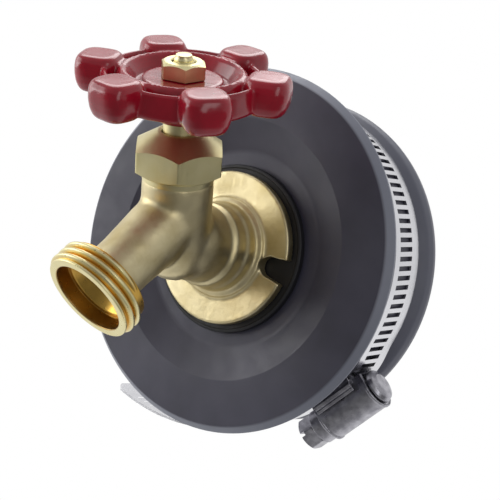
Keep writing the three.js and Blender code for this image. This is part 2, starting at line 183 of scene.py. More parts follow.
def add(tree, kind, inputs=None, **settings):
    """A node with its settings, and its inputs set to values or linked to other sockets."""
    made = tree.nodes.new("ShaderNode" + kind)
    for name, value in settings.items():
        setattr(made, name, value)
    for name, value in (inputs or {}).items():
        if isinstance(value, bpy.types.NodeSocket):
            tree.links.new(value, made.inputs[name])
        else:
            made.inputs[name].default_value = value
    return made


class Finish:
    """A material whose colour, roughness and bump come from patterns sized in millimetres."""

    def __init__(self, name, **constants):
        self.material = bpy.data.materials.new(name)
        self.material.use_nodes = True
        self.tree = self.material.node_tree
        self.tree.nodes.clear()
        self.shader = add(self.tree, "BsdfPrincipled", constants)
        add(self.tree, "OutputMaterial", {"Surface": self.shader.outputs["BSDF"]})
        self.place = add(self.tree, "TexCoord").outputs["Object"]
        self.normal = None

    def noise(self, size, detail=3.0, place=None):
        settings = {"Vector": place or self.place, "Scale": 1000 / size, "Detail": detail}
        return add(self.tree, "TexNoise", settings).outputs["Fac"]

    def turned_place(self, turn, stretch):
        """Coordinates turned by an XYZ angle, then squeezed so that a pattern runs long."""
        upright = add(self.tree, "Mapping", {"Vector": self.place, "Rotation": turn})
        return add(
            self.tree, "Mapping", {"Vector": upright.outputs[0], "Scale": stretch}
        ).outputs[0]

    def range(self, value, low, high, start=0.3, stop=0.7):
        return add(self.tree, "MapRange", {
            "Value": value, "From Min": start, "From Max": stop, "To Min": low, "To Max": high,
        }).outputs["Result"]

    def blend(self, factor, first, second):
        return add(
            self.tree, "Mix", {"Factor": factor, "A": first, "B": second}, data_type="RGBA"
        ).outputs["Result"]

    def colour(self, value):
        self.tree.links.new(value, self.shader.inputs["Base Color"])

    def rough(self, value):
        self.tree.links.new(value, self.shader.inputs["Roughness"])

    def bump(self, height, depth):
        """Raises the surface by a pattern, to a depth in millimetres."""
        settings = {"Height": height, "Strength": 1.0, "Distance": depth / 1000}
        if self.normal:
            settings["Normal"] = self.normal
        self.normal = add(self.tree, "Bump", settings).outputs["Normal"]
        self.tree.links.new(self.normal, self.shader.inputs["Normal"])


def moulded_rubber():
    # PVC elastomer out of a steel mould: dark blue-grey, satin, with faint cloudy tone, and a
    # painted highlight that makes it palest on the outer rim and the rear bead
    skin = Finish("moulded_rubber", IOR=1.5)
    rim_highlight_span, bead_highlight_span = (0.0505, 0.0512), (0.0195, 0.0215)  # radius and depth, in metres
    cloud = skin.noise(14)
    tone = skin.blend(skin.range(cloud, 0, 1), srgb("#383745"), srgb("#444352"))
    sideways = add(skin.tree, "VectorMath", {0: skin.place, 1: (1, 0, 1)}, operation="MULTIPLY")
    radius = add(skin.tree, "VectorMath", {0: sideways.outputs[0]}, operation="LENGTH")
    rim = skin.range(radius.outputs["Value"], 0, 1, *rim_highlight_span)
    depth = add(skin.tree, "VectorMath", {0: skin.place, 1: (0, 1, 0)}, operation="DOT_PRODUCT")
    bead = skin.range(depth.outputs["Value"], 0, 0.45, *bead_highlight_span)
    # painted highlight: the rim's shoulder and the rear bead are paled towards light grey, for
    # light that falls on them
    painted_highlight = add(skin.tree, "Math", {0: rim, 1: bead}, operation="MAXIMUM").outputs[0]
    skin.colour(skin.blend(painted_highlight, tone, srgb("#7f828f")))
    skin.rough(skin.range(skin.noise(5), 0.42, 0.54))
    skin.bump(skin.noise(0.9, 4), 0.012)
    skin.bump(skin.noise(6, 2), 0.05)
    return skin.material


def seal_rubber():
    # cut sheet rubber: almost black and dull
    sheet = Finish("seal_rubber", IOR=1.5)
    sheet.colour(sheet.blend(sheet.noise(6), srgb("#101014"), srgb("#1b1b20")))
    sheet.rough(sheet.range(sheet.noise(3), 0.5, 0.65))
    sheet.bump(sheet.noise(0.7), 0.02)
    return sheet.material


def tumbled_cast_brass():
    # sand-cast yellow brass, tumbled bright: satin, finely pitted, browner in patches
    skin = Finish("tumbled_cast_brass", Metallic=1.0)
    patch = skin.range(skin.noise(9, 4), 0, 1, 0.42, 0.72)
    skin.colour(skin.blend(patch, srgb("#d9cca4"), srgb("#bfaf82")))
    skin.rough(skin.range(skin.noise(4), 0.36, 0.48))
    skin.bump(skin.noise(0.8, 4), 0.03)
    skin.bump(skin.noise(4.5, 2), 0.14)
    return skin.material


def turned_brass(name, turn):
    # bar brass cut bright: faint tool lines that follow the piece's own axis
    cut = Finish(name, Metallic=1.0)
    lines = cut.noise(0.5, 2, cut.turned_place(turn, (1, 0.06, 1)))
    cut.colour(cut.blend(cut.noise(5), srgb("#e9e0b6"), srgb("#d6c990")))
    cut.rough(cut.range(lines, 0.32, 0.44))
    cut.bump(lines, 0.004)
    return cut.material


def chased_brass():
    # a thread cut by a die: bright on the crests, with painted shade in the roots (a deeper gold)
    # and in the bore (brown)
    cut = Finish("chased_brass", Metallic=1.0)
    axis = (OUTLET.to_3x3() @ Vector((0, 1, 0))).normalized()
    from_axis = add(cut.tree, "VectorMath", {0: cut.place, 1: OUTLET.translation * 0.001},
                    operation="SUBTRACT").outputs[0]
    height = add(cut.tree, "VectorMath", {0: from_axis, 1: axis}, operation="DOT_PRODUCT")
    around = add(cut.tree, "VectorMath", {0: from_axis, 1: axis}, operation="CROSS_PRODUCT")
    radius = add(
        cut.tree, "VectorMath", {0: around.outputs[0]}, operation="LENGTH"
    ).outputs["Value"]
    root = cut.range(radius, 0.9, 0, (HOSE_ROOT + 0.1) / 1000, (HOSE_CREST - 0.2) / 1000)
    rim_back = 0.034
    behind_rim = cut.range(height.outputs["Value"], 1, 0, rim_back, rim_back + 0.0004)
    # painted shade: the thread's roots, behind the rim, are given a deeper gold
    painted_root_shade = add(cut.tree, "Math", {0: root, 1: behind_rim}, operation="MULTIPLY").outputs[0]
    bright = cut.blend(cut.noise(4), srgb("#ebe3b8"), srgb("#dfd194"))
    thread = cut.blend(painted_root_shade, bright, srgb("#d8a945"))
    # painted shade: the bore's wall is painted brown, for the shade inside the mouth
    off_bore = add(cut.tree, "Math", {0: radius, 1: HOSE_BORE / 1000},
                   operation="SUBTRACT").outputs[0]
    off_bore = add(cut.tree, "Math", {0: off_bore}, operation="ABSOLUTE").outputs[0]
    bore = cut.range(off_bore, 0.85, 0, 0.0001, 0.0003)
    cut.colour(cut.blend(bore, thread, srgb("#9a7338")))
    cut.rough(cut.range(cut.noise(1.5), 0.26, 0.36))
    cut.bump(cut.noise(0.6), 0.004)
    return cut.material


def dipped_red_enamel():
    # thick red enamel over a zinc casting: glossy and slightly lumpy, chipped on one lobe
    coat = Finish("dipped_red_enamel", IOR=1.5)
    coat.shader.inputs["Coat Weight"].default_value = 0.25
    coat.shader.inputs["Coat Roughness"].default_value = 0.08
    tone = coat.blend(coat.range(coat.noise(8), 0, 1), srgb("#a61028"), srgb("#8a0b1f"))
    chip_middle = STEM @ Matrix.Rotation(radians(WHEEL_TURN), 4, "Y") @ Vector((27.6, 35.5, -1.5))
    to_chip = add(coat.tree, "VectorMath", {0: coat.place, 1: chip_middle * 0.001},
                  operation="DISTANCE").outputs["Value"]
    near = coat.range(to_chip, 0.5, 0, 0.0, 0.0045)
    ragged = add(coat.tree, "Math", {0: near, 1: coat.noise(1.6, 2)}, operation="ADD").outputs[0]
    chip = coat.range(ragged, 0, 1, 0.98, 1.0)
    coat.colour(coat.blend(chip, tone, srgb("#b9b4ac")))
    coat.rough(coat.range(coat.noise(6), 0.16, 0.26))
    coat.bump(coat.noise(5, 2), 0.1)
    coat.bump(chip, -0.05)
    return coat.material


def rolled_stainless():
    # bright rolled strip: nearly a mirror, with a faint grain along the band
    strip = Finish("rolled_stainless", Metallic=1.0)
    strip.colour(strip.blend(strip.noise(10), srgb("#e6e6ea"), srgb("#d3d3d8")))
    grain = strip.noise(0.5, 2, strip.turned_place((0, 0, 0), (0.08, 1, 0.08)))
    strip.rough(strip.range(grain, 0.16, 0.28))
    strip.bump(grain, 0.006)
    return strip.material


def pressed_steel():
    # drawn housing and rolled screw: greyer, scuffed, with darker hollows
    sheet = Finish("pressed_steel", Metallic=1.0)
    scuff = sheet.range(sheet.noise(2.2, 4), 0, 1)
    sheet.colour(sheet.blend(scuff, srgb("#c0bfc6"), srgb("#94939b")))
    sheet.rough(sheet.range(sheet.noise(1.4), 0.24, 0.42))
    sheet.bump(sheet.noise(1.2, 3), 0.015)
    return sheet.material


def zinc_plate():
    # bright zinc over steel: bluish, with a fine spangle
    plate = Finish("zinc_plate", Metallic=1.0)
    plate.colour(plate.blend(plate.noise(3), srgb("#c4c6cc"), srgb("#a5a8b0")))
    plate.rough(plate.range(plate.noise(1.2), 0.3, 0.45))
    plate.bump(plate.noise(0.8), 0.01)
    return plate.material


def packing_yarn():
    # graphited yarn: black, matt and fibrous
    yarn = Finish("packing_yarn", IOR=1.5)
    fibre = yarn.noise(0.4, 3, yarn.turned_place((0, 0, 0), (0.3, 1, 1)))
    yarn.colour(yarn.blend(fibre, srgb("#1d1c1a"), srgb("#45423c")))
    yarn.rough(yarn.range(fibre, 0.7, 0.9))
    yarn.bump(fibre, 0.08)
    return yarn.material


# ---- shaping ----
def rounded(corners, steps=5):
    """The points of an outline. A corner's third value rounds it off by about that radius."""
    points = []
    for i, corner in enumerate(corners):
        here = Vector(corner[:2])
        if len(corner) == 2:
            points.append(here)
            continue
        before = Vector(corners[i - 1][:2]) - here
        after = Vector(corners[(i + 1) % len(corners)][:2]) - here
        back = corner[2] / math.tan(before.angle(after) / 2)
        back = min(back, 0.48 * before.length, 0.48 * after.length)
        start, stop = here + before.normalized() * back, here + after.normalized() * back
        for k in range(steps + 1):
            t = k / steps
            points.append(start * (1 - t) ** 2 + here * 2 * t * (1 - t) + stop * t * t)
    return points


def turned(corners, steps=128, closed=False, sweep=2 * pi, curve=5):
    """An outline of radius and height carried round Y."""
    bm = bmesh.new()
    verts = [bm.verts.new((r, y, 0)) for r, y in rounded(corners, curve)]
    edges = [bm.edges.new(pair) for pair in zip(verts, verts[1:])]
    if closed:
        edges.append(bm.edges.new((verts[-1], verts[0])))
    whole = abs(sweep - 2 * pi) < 1e-6
    bmesh.ops.spin(
        bm, geom=verts + edges, cent=(0, 0, 0), axis=(0, 1, 0), angle=sweep, steps=steps,
        use_merge=whole,
    )
    bmesh.ops.remove_doubles(bm, verts=bm.verts, dist=1e-4)
    if not whole:
        bmesh.ops.holes_fill(bm, edges=[e for e in bm.edges if e.is_boundary])
    bmesh.ops.recalc_face_normals(bm, faces=bm.faces)
    return bm


def threaded(crest, root, pitch, start, turns, flat=0.2, steps=72, fade=0.12):
    """A right-hand thread's ridge about Y, sunk into the rod and fading out at both ends."""
    half, land, sunk = 0.47 * pitch, flat * pitch, 0.35
    section = rounded([
        (root - sunk, -half), (root, -half), (crest, -land / 2, 0.12 * pitch),
        (crest, land / 2, 0.12 * pitch), (root, half), (root - sunk, half),
    ], 3)
    bm = bmesh.new()
    verts = [bm.verts.new((r, start + y, 0)) for r, y in section]
    edges = [bm.edges.new(pair) for pair in zip(verts, verts[1:] + verts[:1])]
    count = round(steps * turns)
    bmesh.ops.spin(
        bm, geom=verts + edges, cent=(0, 0, 0), axis=(0, 1, 0), dvec=(0, pitch / steps, 0),
        angle=2 * pi * count / steps, steps=count,
    )
    ramp = fade * steps
    for i, vert in enumerate(bm.verts):
        station = i // len(section)
        lift = min(1, station / ramp, (count - station) / ramp)
        radius = math.hypot(vert.co.x, vert.co.z)
        wanted = root - sunk + (radius - root + sunk) * max(lift, 0.05)
        vert.co.x *= wanted / radius
        vert.co.z *= wanted / radius
    bmesh.ops.holes_fill(bm, edges=[e for e in bm.edges if e.is_boundary])
    bmesh.ops.recalc_face_normals(bm, faces=bm.faces)
    return bm


def lofted(outline, levels):
    """A flat outline in X and Z raised along Y through levels of height and scale."""
    bm = bmesh.new()
    height, scale = levels[0]
    verts = [bm.verts.new((x * scale, height, z * scale)) for x, z in outline]
    top = [bm.faces.new(verts)]
    for next_height, next_scale in levels[1:]:
        raised = bmesh.ops.extrude_face_region(bm, geom=top)["geom"]
        top = [g for g in raised if isinstance(g, bmesh.types.BMFace)]
        moved = [g for g in raised if isinstance(g, bmesh.types.BMVert)]
        bmesh.ops.translate(bm, verts=moved, vec=(0, next_height - height, 0))
        ratio = next_scale / scale
        bmesh.ops.scale(bm, verts=moved, vec=(ratio, 1, ratio))
        height, scale = next_height, next_scale
    bmesh.ops.recalc_face_normals(bm, faces=bm.faces)
    return bm


def block(low, high, edge=0, segments=3):
    """A box between two corners, with its edges rounded."""
    bm = bmesh.new()
    bmesh.ops.create_cube(bm, size=1)
    bmesh.ops.scale(bm, verts=bm.verts, vec=[b - a for a, b in zip(low, high)])
    bmesh.ops.translate(bm, verts=bm.verts, vec=[(a + b) / 2 for a, b in zip(low, high)])
    if edge:
        rounded_off(bm, bm.edges[:], edge, segments)
    return bm


def rounded_off(bm, edges, width, segments=2):
    bmesh.ops.bevel(
        bm, geom=edges, offset=width, segments=segments, profile=0.5, affect="EDGES", material=-1,
    )
    return bm


def moved(bm, place):
    bm.transform(place)
    return bm


def together(*parts):
    """Several closed shapes as one piece."""
    whole = bmesh.new()
    for part in parts:
        mesh = bpy.data.meshes.new("part")
        part.to_mesh(mesh)
        part.free()
        whole.from_mesh(mesh)
        bpy.data.meshes.remove(mesh)
    return whole


def on_bench(bm):
    mesh = bpy.data.meshes.new("blank")
    bm.to_mesh(mesh)
    bm.free()
    blank = bpy.data.objects.new("blank", mesh)
    bpy.context.scene.collection.objects.link(blank)
    return blank


def off_bench(blank):
    result = bmesh.new()
    result.from_object(blank, bpy.context.evaluated_depsgraph_get())
    bpy.data.meshes.remove(blank.data)
    return result


def cut(bm, tool, operation="DIFFERENCE"):
    """One solid cut by another, joined with it, or kept only where both are."""
    blank, cutter = on_bench(bm), on_bench(tool)
    work = blank.modifiers.new("cut", "BOOLEAN")
    work.operation, work.object, work.solver = operation, cutter, "EXACT"
    result = off_bench(blank)
    bpy.data.meshes.remove(cutter.data)
    return result


def cast(bm, grain):
    """Overlapping solids run together as one skin of even grain."""
    blank = on_bench(bm)
    skin = blank.modifiers.new("skin", "REMESH")
    skin.mode, skin.voxel_size = "VOXEL", grain
    return off_bench(blank)


def softened(bm, passes, chosen=lambda point: True):
    verts = [v for v in bm.verts if chosen(v.co)]
    for _ in range(passes):
        bmesh.ops.smooth_vert(
            bm, verts=verts, factor=0.5, use_axis_x=True, use_axis_y=True, use_axis_z=True
        )
    return bm


def finished(bm, name, place, material, body, node, crease=35, edge=0):
    """Puts a shape in its place, in metres, and fixes it to its body."""
    bm.transform(METRES @ place)
    mesh = bpy.data.meshes.new(name)
    bm.to_mesh(mesh)
    bm.free()
    mesh.materials.append(material)
    mesh.shade_smooth()
    mesh.set_sharp_from_angle(angle=radians(crease))
    piece = bpy.data.objects.new(name, mesh)
    bpy.context.scene.collection.objects.link(piece)
    if edge:
        bevel = piece.modifiers.new("edges", "BEVEL")
        bevel.width, bevel.segments, bevel.limit_method = edge / 1000, 2, "ANGLE"
        bevel.angle_limit, bevel.harden_normals = radians(40), True
    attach(piece, body)
    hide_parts(node)
    return piece


def hexagon(corner, low, high, turn, edge):
    """A hexagon bar along Y with a corner at the turn, its long edges broken."""
    bm = turned([(0, low), (corner, low), (corner, high), (0, high)], 6)
    bmesh.ops.dissolve_limit(bm, angle_limit=radians(1), verts=bm.verts, edges=bm.edges)
    bm.transform(Matrix.Rotation(turn, 4, "Y"))
    long_edges = [
        e for e in bm.edges if abs(e.verts[0].co.y - e.verts[1].co.y) > 0.5 * (high - low)
    ]
    return rounded_off(bm, long_edges, edge, 3)


# ---- the rubber cap and the seal ----
def pipe_cap(rubber):
    bore = PIPE_R + 0.3
    ribs = []
    for y in (30, 20):
        ribs += [(bore + 0.6, y + 1.8, 0.8), (bore, y + 0.4, 0.5), (bore, y - 0.4, 0.5),
                 (bore + 0.6, y - 1.8, 0.8)]
    outline = [
        (11, 6.4), (11, 3.9, 0.5), (28.5, 3.9, 5), (37.8, 0.05, 1), (50.7, 0, 0.35),
        (52.7, 2.1, 0.5), (52.3, 3.5, 0.6), (48.2, 8, 2), (46.4, 9.8, 2), (46.4, 28.8, 0.7),
        (49, 31, 2), (49.6, 33.3, 2), (49.2, 35.7, 1.2), (47.4, 36.5, 0.6), (45.65, 36.5, 0.5),
        *ribs, (bore + 0.5, 7, 1.2), (39, 7, 6), (27, 8.9, 6), (11, 8.9, 0.5),
    ]
    finished(turned(outline, 192, closed=True), "moulded_cap", FACE, rubber, FIXED, "pipe_cap")


def flange_gasket(rubber):
    outline = [
        (11, 2.6), (11, 1.7, 0.2), (23.1, 1.7, 0.3), (23.5, 1.45, 0.3), (24.3, 1.7, 0.5),
        (24.3, 3.6, 0.3), (11, 3.6, 0.2),
    ]
    finished(turned(outline, 160, closed=True), "flange_seal", FACE, rubber, FIXED,
             "flange_gasket")


# ---- the brass body ----
def bib_casting(brass):
    flange_and_neck = turned([
        (0, -26), (5.5, -25.6, 4), (9.6, -23.4, 4), (10.7, -18.5, 6), (10.7, -11.9, 0.8),
        (11.9, -11, 0.8), (11.9, -7, 0.6), (12.6, -6.2, 0.5), (12.6, -3.4, 0.5), (14.4, -2.7, 0.4),
        (14.4, -1.6), (22, -1.6, 0.35), (22, 1.4, 0.3), (10.2, 1.4), (10.2, 5), (0, 5),
    ], 96)
    barrel = turned([
        (0, -18.8), (4.8, -17.8, 3), (8, -15, 4), (9.5, -9, 5), (9.5, 10.4), (9.2, 10.6),
        (9.2, 11.6), (0, 11.6),
    ], 80)
    arm = turned([
        (0, -1), (8.6, -1), (8.9, 8, 10), (8, 20, 10), (8, 26.4, 1.4), (9.6, 27.5), (0, 27.5),
    ], 80)
    moved(barrel, FACE.inverted() @ STEM)
    moved(arm, FACE.inverted() @ OUTLET)
    body = cut(cut(flange_and_neck, barrel, "UNION"), arm, "UNION")
    for passage in passages():
        body = cut(body, passage)
    for side in (0, pi):
        notch = lofted(notch_outline(), [(-4, 1), (4, 1)])
        body = cut(body, moved(notch, Matrix.Rotation(side, 4, "Y")))
    body = cast(body, 0.4)
    softened(body, 36, lambda p: p.y < -13 and (p - CROSSING_POINT).length < 18)
    softened(body, 9, lambda p: p.y < -3.2)
    softened(body, 2, lambda p: p.y >= -3.2)
    finished(body, "bib_casting", FACE, brass, FIXED, "valve_body", crease=80)


def notch_outline():
    """A slot from the rim towards the middle, round at its inner end and a little flared."""
    reach, half, flare = 17, 2.9, 0.9
    arc = [(reach - half * sin(a), half * cos(a)) for a in (radians(15 * k) for k in range(13))]
    return arc + [(reach + 8, -half - flare), (reach + 8, half + flare)]


def passages():
    """The waterways: in through the tail, up under the seat, up the barrel and out by the arm."""
    inlet = turned([(0, -6), (TAIL_BORE, -6), (TAIL_BORE, 8), (0, 8)], 64)
    start, stop = Vector((0, -5, -1.8)), Vector((0, -21, -6))
    lead = (stop - start).to_track_quat("Y", "Z").to_matrix().to_4x4()
    length = (stop - start).length
    under = turned([(0, 0), (3.8, 0), (3.8, length), (0, length)], 48)
    moved(under, Matrix.Translation(start) @ lead)
    stem_bore = turned([
        (0, -14.5), (4.2, -14.5), (4.2, -9), (5.4, -9), (5.4, -10), (7.1, -10), (7.1, 13), (0, 13),
    ], 64)
    moved(stem_bore, FACE.inverted() @ STEM)
    outlet = turned([(0, 0), (6, 0), (6, 29), (0, 29)], 64)
    moved(outlet, FACE.inverted() @ OUTLET)
    return inlet, under, stem_bore, outlet


def hose_collar(brass):
    collar = turned([
        (7.3, 26.2), (12.2, 27.2, 0.4), (12.2, 33.9, 0.3), (12.66, 34.4, 0.2), (12.66, 35, 0.3),
        (HOSE_BORE, 35, 0.35), (HOSE_BORE, 30.7, 0.3), (9.4, 30.7, 0.9), (6.2, 26.2, 0.6),
        (6.2, 25.2),
        (7.3, 25.2),
    ], 160, closed=True)
    thread = threaded(HOSE_CREST, HOSE_ROOT - 0.05, HOSE_PITCH, 28.2, 2.6, flat=0.3, steps=96)
    finished(together(collar, thread), "hose_collar", OUTLET, brass, FIXED, "valve_body")


def inlet_tail(brass):
    tail = turned([
        (TAIL_BORE, 4), (10.1, 4), (10.1, 10, 0.3), (TAIL_ROOT, 11, 0.3), (TAIL_ROOT, 22.6),
        (9.1, 24, 0.3), (TAIL_BORE, 24, 0.4),
    ], 128, closed=True)
    thread = threaded(TAIL_CREST, TAIL_ROOT, TAIL_PITCH, 11.4, 6.2)
    finished(together(tail, thread), "inlet_tail", FACE, brass, FIXED, "valve_body")


def barrel_top(brass):
    top = turned([
        (7.1, 10.2), (9.5, 10.2, 0.15), (9.5, 12, 0.15), (8.4, 12.3, 0.2), (8.4, 17.5, 0.3),
        (7.1, 17.5, 0.2),
    ], 128, closed=True)
    thread = threaded(9.1, 8.4, 1.4, 13.2, 2.6)
    finished(together(top, thread), "barrel_top", STEM, brass, FIXED, "valve_body")


def lock_nut(brass):
    low, high = 11.5, 17.5
    nut = cut(hexagon(16.2, low, high, 0, 0.3), turned([
        (0, low), (14.2, low), (16.4, low + 1.1), (16.4, high - 1.1), (14.2, high), (0, high),
    ]), "INTERSECT")
    bore = turned([(0, low - 1), (10.9, low - 1), (10.9, high + 1), (0, high + 1)])
    finished(cut(nut, bore), "lock_nut_body", FACE, brass, FIXED, "lock_nut",
             crease=20)


def backing_washer(plate):
    outline = [
        (11, 10.2), (11, 9.2, 0.2), (20, 9.2, 0.4), (20, 11.2, 0.4), (11, 11.2, 0.2),
    ]
    finished(turned(outline, 128, closed=True), "plated_washer", FACE, plate, FIXED,
             "backing_washer")


# ---- the stem and the nuts ----
def stem_spindle(brass):
    foot = -4
    shaft = turned([
        (2.1, foot), (STEM_R, foot, 0.4), (STEM_R, 1.8, 0.3), (5.6, 2.2, 0.2), (5.6, 12, 0.3),
        (STEM_R, 12.5, 0.4), (STEM_R, 27, 0.3), (0, 27), (0, foot + 5), (2.1, foot + 5),
    ], 96, closed=True)
    thread = threaded(6.7, 5.6, 2.54, 3.4, 2.8, flat=0.35)
    square = block((-3, 26.5, -3), (3, 37.5, 3), 0.25)
    stud = turned([
        (0, 37), (2.45, 37), (2.45, 42.4, 0.2), (2.1, 42.9), (2.1, 43.5, 0.25), (0, 43.5),
    ], 64)
    stud_thread = threaded(2.72, 2.42, 0.8, 37.6, 5.6, steps=48)
    finished(together(shaft, thread, square, stud, stud_thread), "stem_spindle", STEM, brass,
             WHEEL_AND_STEM, "stem")


def packing_nut(brass):
    corner, low, shoulder, high = 12.7, 12.2, 18.8, 23.4
    blank = turned([
        (0, low), (10.6, low), (11.0, low + 0.35), (corner + 0.15, low + 1.5),
        (corner + 0.15, shoulder), (5.9, high - 0.15, 0.3), (5.4, high), (0, high),
    ], 160)
    nut = cut(hexagon(corner, low, high, radians(11.4), 0.35), blank, "INTERSECT")
    inside = turned([
        (0, low - 1), (9.4, low - 1), (9.4, 18.7), (7.2, 18.7), (7.2, 21.3), (4.8, 21.3),
        (4.8, high - 0.4), (5.3, high + 0.2), (0, high + 0.2),
    ], 96)
    finished(cut(nut, inside), "packing_nut_body", STEM, brass, FIXED, "packing_nut",
             crease=20)


def wheel_nut(brass):
    corner, low, high = 6.1, 37.9, 41.9
    blank = turned([(0, low), (corner, low), (corner, high - 0.8), (corner - 1.3, high), (0, high)])
    nut = cut(hexagon(corner, low, high, radians(17), 0.15), blank, "INTERSECT")
    hole = turned([(0, low - 1), (3, low - 1), (3, high - 0.3), (3.4, high + 0.1), (0, high + 0.1)])
    finished(cut(nut, hole), "wheel_nut_body", STEM, brass, WHEEL_AND_STEM, "wheel_nut",
             crease=20)


# ---- the handwheel ----
def handwheel(enamel):
    dish = turned([
        (0, 26.5), (6.6, 26.5, 0.5), (7.4, 32.9, 0.8), (18.4, 32.9, 0.5), (18.9, 32.2, 0.3),
        (20.1, 32.2, 0.4), (20.5, 33, 0.5), (20.4, 38.6, 0.4), (19.8, 39.3, 0.3),
        (19, 38.7, 0.4), (18.6, 36.3, 0.5), (17.3, 36, 0.5), (16.3, 39, 0.6), (15.2, 39.9, 0.4),
        (14.2, 39.1, 0.6), (12, 35.8, 0.8), (10.6, 35.8, 0.3), (10.2, 37.6, 0.3), (0, 37.6),
    ], 160)
    parts = [dish]
    for k in range(6):
        turn = Matrix.Rotation(radians(WHEEL_TURN + 60 * k), 4, "Y")
        parts += [moved(shape, turn) for shape in (lobe(), lobe_neck())]
    wheel = softened(cast(together(*parts), 0.34), 3)
    wheel = cut(wheel, block((-3.3, 24, -3.3), (3.3, 40, 3.3)))
    wheel = cut(wheel, turned([(0, 25), (4.8, 25), (4.8, 27.3), (0, 27.3)], 64))
    finished(wheel, "enamelled_wheel", STEM, enamel, WHEEL_AND_STEM, "handwheel",
             crease=60)


def lobe():
    """A finger lobe: a rounded block, fullest just under its flat top and narrower below."""
    half_x, half_z = 5.85, 6.1
    outline = rounded([
        (-half_x, -half_z, 4.8), (half_x, -half_z, 4.8), (half_x, half_z, 4.8),
        (-half_x, half_z, 4.8),
    ], 8)
    levels = [(31.3, 0.6), (31.6, 0.74), (32.4, 0.85), (34, 0.95), (36, 1.0), (38, 1.0),
              (39.4, 0.96), (40.3, 0.89), (40.8, 0.8), (41, 0.7)]
    return moved(lofted(outline, levels), Matrix.Translation((22.05, 0, 0)))


def lobe_neck():
    """The web that joins a lobe to the wheel's inner ring."""
    return block((14.8, 35.4, -3.6), (18.6, 39.5, 3.6), 1.2)


# ---- the clamp ----
# The strip's angles, in degrees: once round, over its own start, then out as a free tail.
STRIP_START, STRIP_LAP, STRIP_OVER, STRIP_LEAVE, STRIP_END = -47.5, -372, -384, -409, -480
SLOT_LENGTH, SLOT_WIDTH, SLOT_PITCH, SLOT_SKEW = 7.4, 1.35, 2.66, radians(6)
SLOT_OFFSET = -0.65  # the row of slots runs nearer the front edge
STATION = 0.25  # degrees between stations along the strip


def strip_radius(angle):
    inner = BAND_INNER + BAND_THICK / 2
    outer = HOUSING_BASE - 0.3 - BAND_THICK / 2
    rise = min(1, max(0, (STRIP_LAP - angle) / (STRIP_LAP - STRIP_OVER)))
    free = max(0, STRIP_LEAVE - angle) / (STRIP_LEAVE - STRIP_END)
    return inner + (outer - inner) * rise * rise * (3 - 2 * rise) + 16 * free ** 1.5


def strip_lengths():
    """The length along the strip at each station."""
    lengths = [0.0]
    for k in range(round((STRIP_START - STRIP_END) / STATION)):
        a = STRIP_START - k * STATION
        here, there = strip_radius(a), strip_radius(a - STATION)
        lengths.append(lengths[-1] + math.hypot(here * radians(STATION), there - here))
    return lengths


def clamp_band(steel):
    lengths = strip_lengths()
    whole = lengths[-1]
    slots = []
    for first, last in ((-284, -384.5), (-416, -474)):
        length_at = [lengths[round((STRIP_START - a) / STATION)] for a in (first, last)]
        count = int((length_at[1] - length_at[0]) / SLOT_PITCH)
        slots += [length_at[0] + k * SLOT_PITCH for k in range(count + 1)]
    bm = bmesh.new()
    bmesh.ops.create_grid(bm, x_segments=260, y_segments=2, size=0.5)
    bmesh.ops.scale(bm, verts=bm.verts, vec=(whole, BAND_WIDTH, 1))
    bmesh.ops.translate(bm, verts=bm.verts, vec=(whole / 2, 0, 0))
    across = Vector((cos(SLOT_SKEW), sin(SLOT_SKEW), 0))
    for side in (-1, 1):
        divide(bm, (0, SLOT_OFFSET + side * SLOT_LENGTH / 2, 0), (0, 1, 0))
        for middle in slots:
            edge = Vector((middle, SLOT_OFFSET, 0)) + across * side * SLOT_WIDTH / 2
            divide(bm, edge, across)
        tip = (whole - 3, side * BAND_WIDTH / 2, 0)
        divide(bm, tip, (1, side * 1.0, 0), clear=True)
    holes = []
    for face in bm.faces:
        middle = face.calc_center_median()
        k = bisect.bisect(slots, middle.x)
        y = middle.y - SLOT_OFFSET
        near = [abs((middle.x - s) * across.x + y * across.y) for s in slots[max(0, k - 1):k + 1]]
        if abs(y) < SLOT_LENGTH / 2 and near and min(near) < SLOT_WIDTH / 2:
            holes.append(face)
    bmesh.ops.delete(bm, geom=holes, context="FACES")
    bmesh.ops.solidify(bm, geom=bm.faces[:], thickness=BAND_THICK)
    heights = [v.co.z for v in bm.verts]
    middle = (min(heights) + max(heights)) / 2
    for vert in bm.verts:
        bend_strip(vert, lengths, middle)
    bmesh.ops.recalc_face_normals(bm, faces=bm.faces)
    finished(bm, "slotted_band", FACE, steel, FIXED, "clamp_band")


def divide(bm, point, normal, clear=False):
    bmesh.ops.bisect_plane(
        bm, geom=bm.verts[:] + bm.edges[:] + bm.faces[:], plane_co=point, plane_no=normal,
        clear_outer=clear, dist=1e-5,
    )


def bend_strip(vert, lengths, middle):
    """Takes a point of the flat strip to its place on the curved band."""
    along = min(max(vert.co.x, 0), lengths[-1])
    k = min(bisect.bisect(lengths, along), len(lengths) - 1)
    part = (along - lengths[k - 1]) / (lengths[k] - lengths[k - 1])
    angle = STRIP_START - (k - 1 + part) * STATION
    radius = strip_radius(angle) + vert.co.z - middle
    a = radians(angle)
    vert.co = Vector((radius * cos(a), BAND_MID + vert.co.y, radius * sin(a)))


